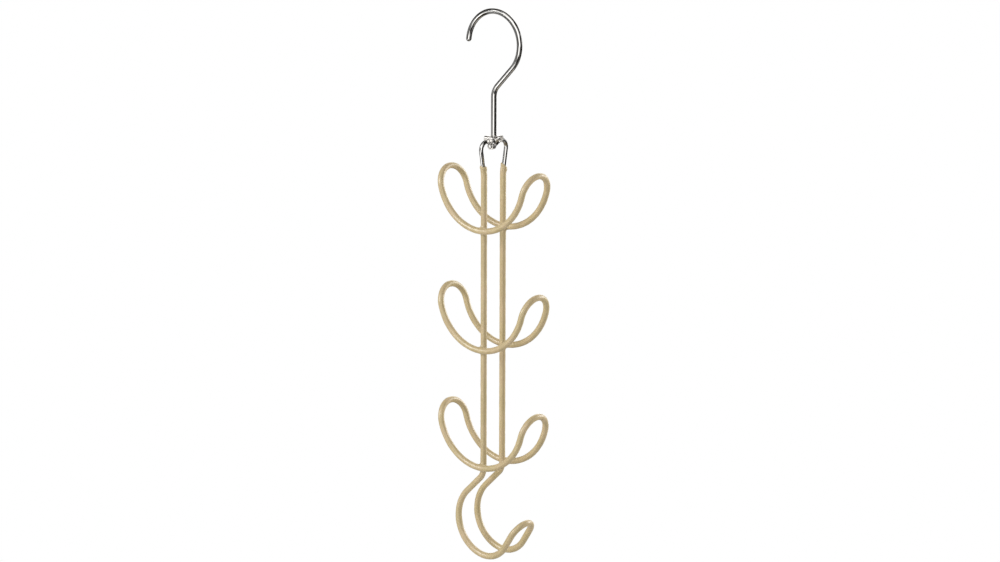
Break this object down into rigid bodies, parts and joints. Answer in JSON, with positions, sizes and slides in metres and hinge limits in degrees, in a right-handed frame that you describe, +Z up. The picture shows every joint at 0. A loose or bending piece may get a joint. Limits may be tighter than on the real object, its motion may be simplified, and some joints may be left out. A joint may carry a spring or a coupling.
{
  "type": "bag hanger",
  "caption": "Swivelling wire hanger for handbags: a rail hook over a double wire frame with saddle-shaped loops and a hook at its foot, coated below the bail.",
  "frame": {"origin": "the point inside the top hook that rests on the top of the rail", "axes": "+Z up along the shank and the swivel axis; +X the way the loops reach out and the way the mouth of the foot hook opens; Y along the rail, from the front rod (-Y) to the back rod (+Y)"},
  "size_m": [0.085, 0.032, 0.3959],
  "materials": {
    "chrome_plate": "bright chrome plate over drawn steel wire and folded sheet",
    "bare_steel": "drawn steel wire, sealed inside the coating",
    "vinyl_coat": "satin champagne-beige vinyl dip coating with a slightly soft surface"
  },
  "bodies": {
    "hook": {"hook": "chrome_plate"},
    "hanger": {"frame_coating": "vinyl_coat", "frame_wire": "chrome_plate", "loop_coating_bottom": "vinyl_coat", "loop_coating_middle": "vinyl_coat", "loop_coating_top": "vinyl_coat", "loop_wire_bottom": "bare_steel", "loop_wire_middle": "bare_steel", "loop_wire_top": "bare_steel", "swivel_clip": "chrome_plate"}
  },
  "joints": [
    {"name": "hook_swivel", "type": "hinge", "parent": "hook", "child": "hanger", "pos_m": [0, 0, -0.08518], "axis": [0, 0, 1], "continuous": true}
  ]
}
